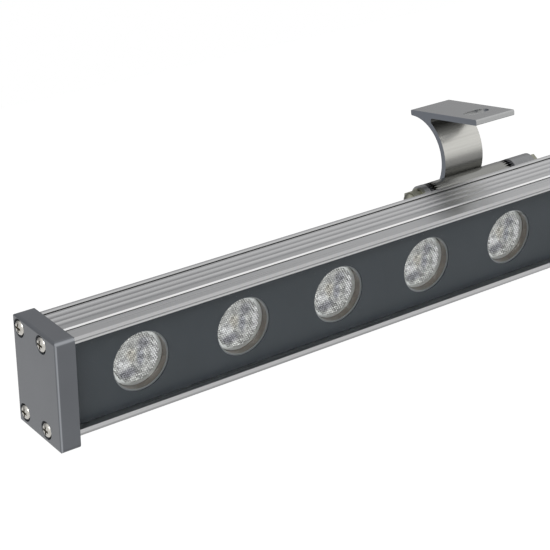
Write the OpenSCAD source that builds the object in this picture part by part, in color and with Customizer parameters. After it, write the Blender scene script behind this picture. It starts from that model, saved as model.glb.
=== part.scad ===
// Linear floodlight: an extruded bar of 24 lensed LEDs on two tilting brackets.
// Origin: on the top face of the bracket plates, midway between their two slots.
// X runs along the lamp, the lamp shines towards -Y, and Z is up through the plates.

/* [Lamp] */
// Length of the lamp over both end caps
lamp_l = 1000; // [920:10:1200]
// Number of LEDs, each behind its own lens
led_count = 24; // [18:1:26]
// Distance of the first and the last LED from the inner face of their end cap
led_end = 26.6; // [24:0.2:34]
// Tilt of the lamp as drawn, front edge down, in degrees
rest_tilt = 10.5; // [0:0.5:30]

/* [Housing] */
// Thickness of the housing behind the floor of its main cavity
rear_block = 7.7; // [6.4:0.1:11]
// Thickness of the housing above its main cavity
top_block = 7.05; // [6:0.05:9]
// Thickness of the housing below its main cavity
base_block = 8.8; // [7.4:0.1:11]
// Thickness of the front lips that hold the glass
lip_t = 1.8; // [1.4:0.1:2.2]
// Height of the upper lip
lip_up_h = 2.3; // [1.9:0.1:3]
// Height of the lower lip
lip_low_h = 2.6; // [2:0.1:3]
// How far the window reaches below the line of LEDs
window_low = 14.8; // [14:0.1:16]
// Depth of the main cavity from the front lips to its floor
floor_y = 19.6; // [18:0.1:24]
// Height of the main cavity below the line of LEDs
cavity_low = 12.8; // [12:0.1:14]
// Half width of the mouth of the rear slot
slot_mouth = 2.6; // [2.4:0.05:2.9]
// Half width of the rear slot behind its lips
slot_head = 4.6; // [4.3:0.1:5]
// Thickness of the lips of the rear slot
slot_lip_t = 1.3; // [1:0.1:1.6]
// Depth of the rear slot behind its lips
slot_head_d = 2.2; // [2:0.1:2.4]

/* [Top ribs] */
// Distance of the narrow groove from the front lips
groove_y = 5; // [4.8:0.1:5.6]
// Width of the narrow groove
groove_w = 1; // [0.6:0.1:1.1]
// Depth of the narrow groove
groove_d = 1.2; // [0.6:0.1:1.4]
// Distance between the shallow valleys in the top
valley_pitch = 2.95; // [2.8:0.05:3.1]
// Width of the shallow valleys
valley_w = 2.7; // [2:0.1:2.8]
// Depth of the shallow valleys
valley_d = 0.2; // [0.1:0.01:0.3]
// Width of the bevel behind the narrow and the deep groove
bevel_w = 0.9; // [0.6:0.1:1]
// Thickness of the rib behind the deep groove
channel_rib = 1.8; // [1.4:0.1:2.2]
// Width of the deep groove
channel_w = 1.2; // [0.8:0.1:1.4]
// Depth of the deep groove
channel_d = 2.5; // [1.5:0.1:3]

/* [End caps] */
// Thickness of each end cap
cap_t = 6.5; // [5:0.5:9]
// How far the end caps stand in front of the front lips
cap_front = 0.4; // [0:0.1:1]
// Radius of the corners of an end cap
cap_corner_r = 1.8; // [1:0.1:2.2]
// Radius of the upper rear corner of an end cap
cap_top_r = 2.8; // [1.8:0.1:3.2]
// Radius of the outer edges of an end cap
cap_edge_r = 1; // [0.4:0.1:1.2]
// Thickness of the gasket in each end cap
gasket_t = 0.6; // [0.4:0.1:1.2]
// Radius of the cap screws
cap_screw_r = 1.45; // [1.2:0.05:1.5]
// Length of the cap screws under the head
cap_screw_l = 16; // [12:1:25]
// Radius of the head of a cap screw
cap_head_r = 2.6; // [2.4:0.1:3]

/* [Glass and seal] */
// Thickness of the front glass
glass_t = 2; // [1.6:0.1:2.2]
// How far the glass reaches behind each lip
glass_lap = 0.5; // [0.3:0.05:0.6]
// Thickness of the dark mask behind the glass
mask_t = 0.3; // [0.2:0.05:0.4]
// Radius of the holes in the mask
mask_hole_r = 10.68; // [10:0.02:11]
// Thickness of the seal behind the mask
seal_t = 1.5; // [1.2:0.1:1.7]

/* [Lenses and board] */
// Diameter of a lens
lens_d = 20; // [19:0.1:20.2]
// Thickness of the flange of a lens
lens_flange_t = 1.4; // [1:0.1:2]
// Wall of the tube that holds a lens
holder_wall = 1.05; // [0.8:0.05:1.15]
// Number of screws that hold the circuit board
screw_count = 6; // [3:1:10]
// Thickness of the circuit board
board_t = 1.6; // [1.2:0.1:1.8]
// Thickness of the thermal pad
pad_t = 0.3; // [0.2:0.05:0.5]
// Side of an LED package
led_w = 3.45; // [3:0.05:3.6]
// Thickness of an LED package without its dome
led_t = 0.9; // [0.6:0.05:1.1]

/* [Brackets] */
// Distance between the two brackets
bracket_span = 600; // [400:10:640]
// Width of a bracket arm along the lamp
arm_w = 19.2; // [17:0.1:24]
// Thickness of the arm all round
arm_t = 2.2; // [2:0.1:2.6]
// Depth of the mounting plate, front to rear
plate_d = 37.3; // [35:0.1:42]
// Height of the plate's top face above the hinge
plate_h = 29.2; // [28:0.1:34]
// Outer radius of the bend under the plate
bend_r = 18; // [16:0.1:18.6]
// Length of the slotted hole in the plate
plate_slot_l = 11; // [8:0.5:12]
// Width of the slotted hole in the plate
plate_slot_w = 5.5; // [4.5:0.1:6.5]
// Distance of the slotted hole in front of the hinge
plate_slot_y = 8.2; // [6:0.1:10]

/* [Hinge] */
// Radius of the hinge barrel and its ears
hinge_r = 4.75; // [4.4:0.05:5]
// Length of the smooth barrel between its toothed ends
barrel_l = 34; // [30:1:38]
// Height of the locking teeth
tooth_h = 2.2; // [1.6:0.1:2.4]
// Number of locking teeth on each face
tooth_count = 28; // [16:1:32]
// Radius of the pivot bolt
pivot_r = 2; // [1.6:0.05:2.2]
// Length of the plain part of the left ear
ear_left_l = 2.6; // [2:0.1:6]
// Length of the plain part of the right ear
ear_right_l = 10.6; // [7:0.1:12]
// Drop of the hinge below the top face of the housing
hinge_drop = 7.5; // [7.2:0.1:8.5]

/* [Cable gland] */
// Distance of the gland behind the front lips
gland_y = 13.5; // [12.6:0.1:13.6]
// Height of the gland above the line of LEDs
gland_z = -1.5; // [-3:0.1:2]
// Radius of the gland's thread
gland_r = 6; // [5:0.1:6]
// Width of the gland's hexagons across the flats
gland_hex = 15; // [14:0.1:16]
// Radius of the cable hole in the gland's seal
cable_r = 3.5; // [2.5:0.1:3.8]

/* [Hidden] */
$fn = 64;
// Overrun of every cut, and the small gaps that fits need
over = 1;
fit_gap = 0.02;
slip_gap = 0.15;
free_gap = 0.3;
run_gap = 0.08;
thread_gap = 0.05;
sink = 0.3;

// Places along the lamp
cap_in_x = lamp_l / 2 - cap_t;
cap_rim_x = cap_in_x - gasket_t + fit_gap;
rim_t = 0.5;
body_l = lamp_l - 2 * cap_t - 2 * gasket_t;
led_pitch = (lamp_l - 2 * cap_t - 2 * led_end) / (led_count - 1);
function led_x(i) = led_end - cap_in_x + led_pitch * (i - 1);

// Front to rear inside the housing
glass_y = lip_t;
mask_y = glass_y + glass_t;
seal_y = mask_y + mask_t;
step_y = seal_y + seal_t;
board_y = floor_y - pad_t - board_t;
holder_y = seal_y + free_gap;
lens_sunk = 2.6;
lens_y = holder_y + lens_sunk;
body_d = floor_y + rear_block;

// Heights inside the housing
holder_in_r = lens_d / 2 + slip_gap;
holder_r = holder_in_r + holder_wall;
cavity_up = holder_r + slip_gap;
top_h = cavity_up + top_block;
base_h = cavity_low + base_block;
window_up = top_h - lip_up_h;
seal_in = holder_r + slip_gap;
seal_inset = 0.7;
board_edge = 0.4;
board_half = holder_r - board_edge;

// Outline of the housing
rear_bevel_d = 5.6;
rear_top_y = body_d - rear_bevel_d;
rear_bevel_h = 3.9;
base_bevel = 1;
slant_y = 2;
slant_run = 5.2;
lip_low_z = -window_low - lip_low_h;
lip_bevel_h = 1.2;
lip_bevel_d = 0.6;
rear_wall_in = 2;

// Screw ports for the end caps
port_r = cap_screw_r + thread_gap;
port_front_y = 9;
port_rear_in = 4.3;
port_rear_y = body_d - port_rear_in;
port_up_in = 4.2;
port_up_z = top_h - port_up_in;
port_low_in = 4.8;
port_low_z = port_low_in - base_h;
port_list = [[port_front_y, port_up_z], [port_rear_y, port_up_z],
             [port_front_y, port_low_z], [port_rear_y, port_low_z]];

// Hollow chambers that save weight in the extrusion
port_wall = 1.9;
groove_wall = 0.8;
chamber_wall = 2;
web = 1.5;
channel_y = rear_top_y - channel_rib - channel_w;
chamber_front_y = port_front_y + port_r + port_wall;
chamber_rear_y = channel_y - groove_wall;
chamber_up_z = cavity_up + web;
chamber_low_z = -cavity_low - web;

// Fine lines of the front and top faces
lip_line_drop = 1.2;
lip_line_w = 0.35;
lip_line_d = 0.4;
bevel_d = 0.2;
valley_land = 4.65;
valley_r = (valley_w * valley_w / 4 + valley_d * valley_d) / (2 * valley_d);
valley_first_y = groove_y + groove_w + valley_land;
valley_count = 3;

// Inner parts
board_end_gap = 2.7;
board_half_l = body_l / 2 - board_end_gap;
ledge_t = 1;
ledge_w = 1.1;
lens_tail_r = 5.2;
lens_gap = 0.4;
lens_pocket_r = 2.6;
lens_pocket_d = 5;
lens_neck = 0.3;
dome_r = 1.3;
dome_sunk = 0.1;
board_screw_r = 1.3;
board_screw_bite = 2.9;
board_head_r = 2.6;
board_head_h = 1.8;
terminal_l = 6;
terminal_d = 8.5;
terminal_h = 16;
terminal_end_gap = 0.5;
wire_hole_r = 1.2;
wire_hole_z = 4;

// Heads and recesses of the screws
head_h = 2.3;
head_rim_h = 1.3;
head_sunk = 1.9;
head_gap = 0.2;
seat_gap = 0.6;
dome_step = 15;
cross_l = 3.2;
cross_w = 0.85;
cross_d = 1.3;

// Hinge, arm and carrier
hinge_y = body_d + free_gap + hinge_r;
hinge_z = top_h - hinge_drop;
barrel_gap = 0.45;
carrier_rise = 2.7;
carrier_fall = 6.5;
slot_z = hinge_z - hinge_r - barrel_gap - carrier_rise;
pivot_y = plate_slot_y;
pivot_z = -plate_h;
leg_front = 0.65;
leg_low_z = 3;
plate_edge_r = 0.5;
bend_y = leg_front + bend_r;
bend_z = plate_h - bend_r;
crotch_fillet_r = 1.2;
bore_r = pivot_r + run_gap;
tooth_gap = 0.2;
tooth_r = hinge_r - thread_gap;
tooth_wall = 0.9;
tooth_in_r = pivot_r + tooth_wall;
barrel_x = barrel_l / 2;
ear_x = barrel_x + 2 * tooth_h + tooth_gap;
ear_out_left = -ear_x - ear_left_l;
ear_out_right = ear_x + ear_right_l;
carrier_y = body_d + free_gap;
carrier_t = 3.9;
carrier_rear = carrier_y + carrier_t;
carrier_low = slot_z - carrier_fall;
carrier_up = slot_z + carrier_rise;
ear_skirt = 2;
tongue_gap = 0.2;
slot_floor_y = body_d - slot_lip_t - slot_head_d;
grub_r = 1.5;
grub_x = 12;
grub_sunk = 0.4;
grub_hex_r = 0.87;
grub_hex_d = 1.8;

// Pivot hardware
washer_r = 4;
washer_t = 0.8;
spring_r = 3.4;
spring_t = 1;
spring_slit = 0.5;
nut_hex = 7;
nut_h = 2.9;
nut_dome_r = 3.1;
nut_end_wall = 0.7;
bolt_head_h = 2.8;
bolt_dish = 0.5;
bolt_short = 1.2;
nut_x = ear_out_left - washer_t - spring_t;
bolt_end_x = nut_x - nut_h;
nut_end_x = bolt_end_x - nut_dome_r * 2 / 3;

// Cable gland, from the end cap outwards
gland_washer_t = 1.2;
gland_washer_rim = 2.5;
gland_flange_t = 3.4;
gland_neck_in = 0.4;
gland_neck_r = gland_r - gland_neck_in;
gland_neck_l = 6.4;
gland_wall = 1;
gland_bore_r = gland_neck_r - gland_wall;
gland_nut_gap = 0.5;
gland_nut_l = 14.8;
gland_nut_hex_l = 9;
gland_dome_edge = 2.6;
gland_thread_gap = 0.1;
gland_mouth_r = cable_r + free_gap;
gland_mouth_l = 1.4;
gland_seal_l = 9.5;
gland_x = lamp_l / 2;
gland_hex_x = gland_x + gland_washer_t;
gland_neck_x = gland_hex_x + gland_flange_t;
gland_nut_x = gland_neck_x + gland_nut_gap;
gland_end_x = gland_nut_x + gland_nut_l;
gland_seal_x = gland_end_x - gland_mouth_l - fit_gap;

function lens_name(i) = str("lens_", i < 10 ? "0" : "", i);
LENSES = [for (i = [1 : led_count]) lens_name(i)];

// Shared shapes

// Extrudes an outline drawn as (depth, height) along the lamp, centred on it
module along_x(length) {
    rotate([90, 0, 90]) linear_extrude(length, center = true) children();
}

// Round bar along the lamp
module rod_x(from, to, r, sides = $fn) {
    translate([from, 0, 0]) rotate([0, 90, 0]) cylinder(h = to - from, r = r, $fn = sides);
}

// Round bar from front to rear
module rod_y(from, to, r) {
    translate([0, from, 0]) rotate([-90, 0, 0]) cylinder(h = to - from, r = r);
}

// Hexagonal bar along the lamp, measured across its flats
module hex_x(from, to, flats) {
    rod_x(from, to, flats / 2 / cos(30), 6);
}

module rounded_square(w, h, r) {
    translate([r, 0]) square([w - 2 * r, h]);
    translate([0, r]) square([w, h - 2 * r]);
    for (x = [r, w - r], y = [r, h - r]) translate([x, y]) circle(r);
}

// Rectangle between two depths and two heights
module span(y0, y1, z0, z1) {
    translate([y0, z0]) square([y1 - y0, z1 - z0]);
}

// Turns what is drawn round the LED line to its tilt on the hinge
module place_lamp() {
    translate([0, pivot_y, pivot_z]) rotate([rest_tilt, 0, 0])
        translate([0, -hinge_y, -hinge_z]) children();
}

// One bracket's place, side -1 left and 1 right
module at_bracket(side) {
    translate([side * bracket_span / 2, 0, 0]) children();
}

// Round bar along the lamp whose edge at its far end is rounded over, edge wide and drop deep
module domed_x(from, to, r, edge, drop) {
    translate([from, 0, 0]) rotate([0, 90, 0]) rotate_extrude() polygon(concat(
        [[0, 0], [r, 0]],
        [for (a = [0 : dome_step : 90]) [r - edge * (1 - cos(a)), to - from - drop * (1 - sin(a))]],
        [[0, to - from]]));
}

// Screw head with a crossed recess: its seat at 0, its top towards +X
module cross_head(r) {
    difference() {
        domed_x(0, head_h, r, r / 2, head_h - head_rim_h);
        for (turn = [0, 90]) rotate([turn, 0, 0])
            translate([head_h - cross_d, -cross_l / 2, -cross_w / 2])
                cube([cross_d + over, cross_l, cross_w]);
    }
}

// Housing

function body_outline(inset) = [
    [inset, top_h - inset],
    [rear_top_y, top_h - inset],
    [body_d - inset, top_h - rear_bevel_h - inset],
    [body_d - inset, base_bevel + inset - base_h],
    [body_d - base_bevel - inset, inset - base_h],
    [slant_y + slant_run, inset - base_h],
    [slant_y, lip_low_z + inset],
    [lip_bevel_d + inset, lip_low_z + inset],
    [inset, lip_low_z + lip_bevel_h + inset]];

module cavity_section() {
    span(step_y, floor_y, -cavity_low, cavity_up);
}

module port_section(r) {
    for (port = port_list) translate(port) circle(r);
}

// Groove in the top with a bevel along its rear edge
module bevelled_groove(y, w, d) {
    translate([y, top_h]) polygon([[0, over], [0, -d], [w, -d], [w, -bevel_d], [w + bevel_w, 0],
                                   [w + bevel_w, over]]);
}

module top_groove_section() {
    bevelled_groove(groove_y, groove_w, groove_d);
    bevelled_groove(channel_y, channel_w, channel_d);
    for (i = [0 : valley_count - 1])
        translate([valley_first_y + i * valley_pitch, top_h + valley_r - valley_d]) circle(valley_r);
    span(-over, lip_line_d, top_h - lip_line_drop - lip_line_w, top_h - lip_line_drop);
}

module rear_slot_section() {
    span(slot_floor_y, slot_floor_y + slot_head_d, slot_z - slot_head, slot_z + slot_head);
    span(slot_floor_y, body_d + over, slot_z - slot_mouth, slot_z + slot_mouth);
}

module housing_section() {
    difference() {
        polygon(body_outline(0));
        span(-over, step_y, -window_low, window_up);
        span(glass_y, seal_y, -window_low - glass_lap - slip_gap, window_up + glass_lap + slip_gap);
        span(step_y - over, floor_y, -cavity_low, cavity_up);
        span(chamber_front_y, chamber_rear_y, chamber_up_z, top_h - chamber_wall);
        span(chamber_front_y, chamber_rear_y, chamber_wall - base_h, chamber_low_z);
        span(floor_y + rear_wall_in, body_d - rear_wall_in, port_low_z + rear_wall_in + port_r,
             slot_z - slot_head - rear_wall_in);
        port_section(port_r);
        top_groove_section();
        rear_slot_section();
    }
}

// Board screws sit midway between two lenses, spread from the first gap to the last
function screw_x(k) = led_x(1 + round((led_count - 2) * k / (screw_count - 1))) + led_pitch / 2;

module board_holes(from, to, r) {
    for (k = [0 : screw_count - 1]) translate([screw_x(k), 0, 0]) rod_y(from, to, r);
}

module housing() {
    color("darkgray") place_lamp() difference() {
        along_x(body_l) housing_section();
        board_holes(floor_y - over, floor_y + board_screw_bite + free_gap, board_screw_r + fit_gap);
    }
}

// End caps, gaskets and their screws

module cap_blank() {
    height = top_h + base_h;
    depth = body_d + cap_front;
    thick = lamp_l / 2 - cap_rim_x;
    intersection() {
        translate([cap_rim_x + thick / 2, 0, 0]) along_x(thick)
            translate([-cap_front, -base_h]) rounded_square(depth, height, cap_corner_r);
        translate([cap_rim_x + thick / 2, 0, 0]) along_x(thick)
            translate([-cap_front - 2 * over, -base_h - 2 * over])
                rounded_square(depth + 2 * over, height + 2 * over, cap_top_r);
        translate([cap_rim_x - thick, body_d + over, -base_h]) rotate([90, 0, 0])
            linear_extrude(depth + 2 * over) rounded_square(2 * thick, height, cap_edge_r);
        translate([cap_rim_x - thick, -cap_front, -base_h - over])
            linear_extrude(height + 2 * over) rounded_square(2 * thick, depth, cap_edge_r);
    }
}

module cap_shape() {
    difference() {
        cap_blank();
        translate([cap_in_x - gasket_t, 0, 0]) along_x(2 * gasket_t)
            polygon(body_outline(rim_t - fit_gap));
        for (port = port_list) translate([0, port[0], port[1]]) {
            rod_x(cap_in_x - over, lamp_l / 2 + over, cap_screw_r + head_gap);
            rod_x(lamp_l / 2 - head_sunk, lamp_l / 2 + over, cap_head_r + seat_gap);
        }
    }
}

module end_cap_left() {
    color("slategray") place_lamp() mirror([1, 0, 0]) cap_shape();
}

module end_cap_right() {
    color("slategray") place_lamp() difference() {
        cap_shape();
        translate([0, gland_y, gland_z]) rod_x(cap_in_x - over, gland_x + over, gland_r + fit_gap);
    }
}

module gasket_shape() {
    translate([cap_in_x - gasket_t / 2, 0, 0]) along_x(gasket_t) difference() {
        polygon(body_outline(rim_t));
        cavity_section();
        port_section(cap_screw_r + head_gap);
    }
}

module cap_gasket_left() {
    color("dimgray") place_lamp() mirror([1, 0, 0]) gasket_shape();
}

module cap_gasket_right() {
    color("dimgray") place_lamp() gasket_shape();
}

module cap_screw_set() {
    seat = lamp_l / 2 - head_sunk;
    for (port = port_list) translate([seat, port[0], port[1]]) {
        cross_head(cap_head_r);
        rod_x(-cap_screw_l, 0, cap_screw_r);
    }
}

module cap_screws_left() {
    color("silver") place_lamp() mirror([1, 0, 0]) cap_screw_set();
}

module cap_screws_right() {
    color("silver") place_lamp() cap_screw_set();
}

// Glass, mask and seal

module front_glass() {
    color("lightblue", 0.4) place_lamp() translate([0, glass_y, -window_low - glass_lap])
        translate([-body_l / 2 + slip_gap, 0, 0])
            cube([body_l - 2 * slip_gap, glass_t, window_low + window_up + 2 * glass_lap]);
}

module front_mask() {
    color("darkslategray") place_lamp() difference() {
        translate([slip_gap - body_l / 2, mask_y, -window_low - glass_lap])
            cube([body_l - 2 * slip_gap, mask_t, window_low + window_up + 2 * glass_lap]);
        for (i = [1 : led_count]) translate([led_x(i), 0, 0])
            rod_y(mask_y - over, mask_y + mask_t + over, mask_hole_r);
    }
}

module glass_seal() {
    open_half_l = led_x(led_count) + holder_r + slip_gap;
    color("black") place_lamp() difference() {
        translate([slip_gap - body_l / 2, seal_y, seal_inset - window_low])
            cube([body_l - 2 * slip_gap, seal_t, window_low + window_up - 2 * seal_inset]);
        translate([-open_half_l, seal_y - over, -seal_in])
            cube([2 * open_half_l, seal_t + 2 * over, 2 * seal_in]);
    }
}

// Circuit board, LEDs and lenses

module led_board() {
    color("white") place_lamp() difference() {
        translate([-board_half_l, board_y, -board_half]) cube([2 * board_half_l, board_t, 2 * board_half]);
        board_holes(board_y - over, floor_y, board_screw_r + slip_gap);
    }
}

module thermal_pad() {
    color("lightgray") place_lamp() difference() {
        translate([-board_half_l, floor_y - pad_t, -board_half])
            cube([2 * board_half_l, pad_t, 2 * board_half]);
        board_holes(board_y, floor_y + over, board_screw_r + slip_gap);
    }
}

module led_packages() {
    color("khaki") place_lamp() for (i = [1 : led_count]) translate([led_x(i), board_y - led_t, 0]) {
        translate([-led_w / 2, 0, -led_w / 2]) cube([led_w, led_t, led_w]);
        translate([0, dome_sunk, 0]) difference() {
            sphere(dome_r);
            translate([-dome_r - over, 0, -dome_r - over]) cube(2 * (dome_r + over));
        }
    }
}

module lens_holders() {
    ledge_y = lens_y + lens_flange_t;
    color("gray") place_lamp() for (i = [1 : led_count]) translate([led_x(i), 0, 0]) difference() {
        rod_y(holder_y, board_y, holder_r);
        rod_y(holder_y - over, ledge_y, holder_in_r);
        rod_y(ledge_y - over, board_y + over, holder_in_r - ledge_w);
        rod_y(ledge_y + ledge_t, board_y + over, holder_in_r);
    }
}

// A lens is a solid of revolution: flange, cone that gathers the light, pocket for the LED
module lens(i) {
    tail_y = board_y - led_t - lens_gap;
    shoulder_r = holder_in_r - ledge_w - lens_neck;
    color("gainsboro", 0.7) place_lamp() translate([led_x(i), lens_y, 0]) rotate([-90, 0, 0])
        rotate_extrude() polygon([
            [0, 0], [lens_d / 2, 0], [lens_d / 2, lens_flange_t], [shoulder_r, lens_flange_t],
            [lens_tail_r, tail_y - lens_y], [lens_pocket_r, tail_y - lens_y],
            [lens_pocket_r, tail_y - lens_y - lens_pocket_d], [0, tail_y - lens_y - lens_pocket_d]]);
}

module board_screws() {
    color("silver") place_lamp() {
        board_holes(board_y, floor_y + board_screw_bite, board_screw_r);
        for (k = [0 : screw_count - 1])
            translate([screw_x(k), 0, 0]) difference() {
                rod_y(board_y - board_head_h, board_y, board_head_r);
                translate([-cross_l / 2, board_y - board_head_h - over, -cross_w / 2])
                    cube([cross_l, over + board_head_h / 2, cross_w]);
            }
    }
}

module terminal_block() {
    from_x = board_half_l - terminal_end_gap - terminal_l;
    color("white") place_lamp() translate([from_x, board_y - terminal_d, 0]) difference() {
        translate([0, 0, -terminal_h / 2]) cube([terminal_l, terminal_d, terminal_h]);
        for (side = [-1, 1]) translate([terminal_l / 2, terminal_d / 2, side * wire_hole_z])
            rod_x(0, terminal_l, wire_hole_r);
    }
}

// Cable gland in the right end cap

module gland_body() {
    color("dimgray") place_lamp() translate([0, gland_y, gland_z]) difference() {
        union() {
            rod_x(cap_in_x, gland_hex_x + over, gland_r);
            hex_x(gland_hex_x, gland_neck_x, gland_hex);
            rod_x(gland_neck_x - over, gland_neck_x + gland_neck_l, gland_neck_r);
        }
        rod_x(cap_in_x - over, gland_end_x, gland_bore_r);
    }
}

module gland_nut() {
    cup_x = gland_neck_x + gland_neck_l + gland_thread_gap;
    color("dimgray") place_lamp() translate([0, gland_y, gland_z]) difference() {
        union() {
            hex_x(gland_nut_x, gland_nut_x + gland_nut_hex_l, gland_hex);
            domed_x(gland_nut_x, gland_end_x, gland_hex / 2 - slip_gap, gland_dome_edge,
                    gland_nut_l - gland_nut_hex_l);
        }
        rod_x(gland_nut_x - over, cup_x, gland_neck_r + gland_thread_gap);
        rod_x(gland_nut_x, gland_end_x - gland_mouth_l, gland_bore_r);
        rod_x(gland_nut_x, gland_end_x + over, gland_mouth_r);
    }
}

module gland_seal() {
    color("black") place_lamp() translate([0, gland_y, gland_z]) difference() {
        rod_x(gland_seal_x - gland_seal_l, gland_seal_x, gland_bore_r - fit_gap);
        rod_x(gland_seal_x - gland_seal_l - over, gland_seal_x + over, cable_r);
    }
}

module gland_washer() {
    color("black") place_lamp() translate([0, gland_y, gland_z]) difference() {
        rod_x(gland_x, gland_hex_x, gland_r + gland_washer_rim - over);
        rod_x(gland_x - over, gland_hex_x + over, gland_r + fit_gap);
    }
}

// Brackets

// Ring of radial teeth on a face: roots at 0, tips at tooth_h along +X.
// Each flank lies on a plane through the middle of the face, so opposite rings mesh.
module tooth_ring() {
    n = 2 * tooth_count;
    mid = tooth_h / 2;
    function rise(i) = i % 2 == 0 ? mid : -mid;
    function corner(i, r, share) = [mid + rise(i) * share, r * cos(i * 360 / n), r * sin(i * 360 / n)];
    function root(i, r) = [-sink, r * cos(i * 360 / n), r * sin(i * 360 / n)];
    points = concat(
        [for (i = [0 : n - 1]) corner(i, tooth_r, 1)],
        [for (i = [0 : n - 1]) corner(i, tooth_in_r, tooth_in_r / tooth_r)],
        [for (i = [0 : n - 1]) root(i, tooth_r)],
        [for (i = [0 : n - 1]) root(i, tooth_in_r)]);
    faces = concat(
        [for (i = [0 : n - 1]) let (j = (i + 1) % n) [i, n + i, n + j, j]],
        [for (i = [0 : n - 1]) let (j = (i + 1) % n) [2 * n + i, i, j, 2 * n + j]],
        [for (i = [0 : n - 1]) let (j = (i + 1) % n) [n + i, 3 * n + i, 3 * n + j, n + j]],
        [for (i = [0 : n - 1]) let (j = (i + 1) % n) [3 * n + i, 2 * n + i, 2 * n + j, 3 * n + j]]);
    polyhedron(points, faces);
}

// Side view of the arm round the hinge: plate, and a bend that runs down into the barrel
module arm_section() {
    plate_low = plate_h - arm_t;
    translate([bend_y - plate_d, plate_low]) rounded_square(plate_d, arm_t, plate_edge_r);
    intersection() {
        translate([bend_y, bend_z]) difference() {
            circle(bend_r, $fn = 128);
            circle(bend_r - arm_t, $fn = 128);
        }
        span(0, bend_y - plate_edge_r, leg_low_z, plate_h);
    }
    leg_foot();
    crotch_fillet();
}

// Where the foot of the bend runs into the barrel
module leg_foot() {
    function bend_at(r) = bend_y - sqrt(r * r - (bend_z - leg_low_z) * (bend_z - leg_low_z));
    polygon([[0, 0], [bend_at(bend_r), leg_low_z], [bend_at(bend_r - arm_t), leg_low_z], [hinge_r, 0]]);
}

// Where the bend runs into the underside of the plate
module crotch_fillet() {
    plate_low = plate_h - arm_t;
    reach = bend_r + crotch_fillet_r;
    fz = plate_low - crotch_fillet_r;
    fy = bend_y - sqrt(reach * reach - (fz - bend_z) * (fz - bend_z));
    on_bend = [bend_y + (fy - bend_y) * bend_r / reach, bend_z + (fz - bend_z) * bend_r / reach];
    meet_y = bend_y - sqrt(bend_r * bend_r - (plate_low - bend_z) * (plate_low - bend_z));
    difference() {
        polygon([[fy, plate_low + arm_t / 2], [fy, fz], on_bend, [meet_y, plate_low],
                 [meet_y, plate_low + arm_t / 2]]);
        translate([fy, fz]) circle(crotch_fillet_r);
    }
}

module bracket_arm() {
    slot_run = plate_slot_l - plate_slot_w;
    difference() {
        union() {
            along_x(arm_w) arm_section();
            rod_x(-barrel_x, barrel_x, hinge_r);
            for (side = [0, 1]) mirror([side, 0, 0]) translate([barrel_x, 0, 0]) tooth_ring();
        }
        rod_x(-ear_x, ear_x, bore_r);
        translate([0, -plate_slot_y, plate_h - arm_t - over]) {
            for (side = [-1, 1]) translate([side * slot_run / 2, 0, 0])
                cylinder(h = arm_t + 2 * over, r = plate_slot_w / 2);
            translate([-slot_run / 2, -plate_slot_w / 2, 0])
                cube([slot_run, plate_slot_w, arm_t + 2 * over]);
        }
    }
}

module place_arm(side) {
    at_bracket(side) translate([0, pivot_y, pivot_z]) bracket_arm();
}

module bracket_arm_left() {
    color("gray") place_arm(-1);
}

module bracket_arm_right() {
    color("gray") place_arm(1);
}

// Carriers: each has two ears round the arm's barrel and a tongue in the rear slot

module ear_section() {
    translate([hinge_y, hinge_z]) circle(hinge_r);
    polygon([[carrier_y, carrier_low], [carrier_rear, carrier_low],
             [carrier_rear, carrier_low + ear_skirt], [hinge_y + hinge_r, hinge_z],
             [carrier_y, hinge_z]]);
}

module carrier_ear(from, to) {
    translate([(from + to) / 2, 0, 0]) along_x(to - from) ear_section();
}

module hinge_carrier() {
    length = ear_out_right - ear_out_left;
    difference() {
        union() {
            carrier_ear(ear_out_left, -ear_x);
            carrier_ear(ear_x, ear_out_right);
            translate([(ear_out_left + ear_out_right) / 2, 0, 0]) along_x(length) {
                span(carrier_y, carrier_rear, carrier_low, carrier_up);
                span(slot_floor_y + tongue_gap, carrier_y + over, slot_z - slot_mouth + tongue_gap,
                     slot_z + slot_mouth - tongue_gap);
                span(slot_floor_y + tongue_gap, slot_floor_y + slot_head_d - tongue_gap,
                     slot_z - slot_head + tongue_gap, slot_z + slot_head - tongue_gap);
            }
            for (side = [0, 1]) mirror([side, 0, 0]) translate([ear_x, hinge_y, hinge_z])
                mirror([1, 0, 0]) tooth_ring();
        }
        translate([0, hinge_y, hinge_z])
            rod_x(ear_out_left - over, ear_out_right + over, pivot_r + run_gap);
        for (side = [-1, 1]) translate([side * grub_x, 0, slot_z])
            rod_y(slot_floor_y, carrier_rear + over, grub_r + fit_gap);
    }
}

module hinge_carrier_left() {
    color("lightgray") place_lamp() at_bracket(-1) hinge_carrier();
}

module hinge_carrier_right() {
    color("lightgray") place_lamp() at_bracket(1) hinge_carrier();
}

module grub_screws() {
    for (side = [-1, 1]) translate([side * grub_x, 0, slot_z]) difference() {
        rod_y(slot_floor_y + fit_gap, carrier_rear - grub_sunk, grub_r);
        translate([0, carrier_rear - grub_sunk - grub_hex_d, 0]) rotate([-90, 0, 0])
            cylinder(h = grub_hex_d + over, r = grub_hex_r, $fn = 6);
    }
}

module carrier_grub_screws_left() {
    color("dimgray") place_lamp() at_bracket(-1) grub_screws();
}

module carrier_grub_screws_right() {
    color("dimgray") place_lamp() at_bracket(1) grub_screws();
}

// Pivot bolt with its head on the right ear, washers and a domed nut on the left

module at_pivot(side) {
    place_lamp() at_bracket(side) translate([0, hinge_y, hinge_z]) children();
}

module pivot_bolt() {
    difference() {
        union() {
            hex_x(ear_out_right, ear_out_right + bolt_head_h, nut_hex);
            rod_x(bolt_end_x + bolt_short, ear_out_right + over, pivot_r);
        }
        rod_x(ear_out_right + bolt_head_h - bolt_dish, ear_out_right + bolt_head_h + over, pivot_r);
    }
}

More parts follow.
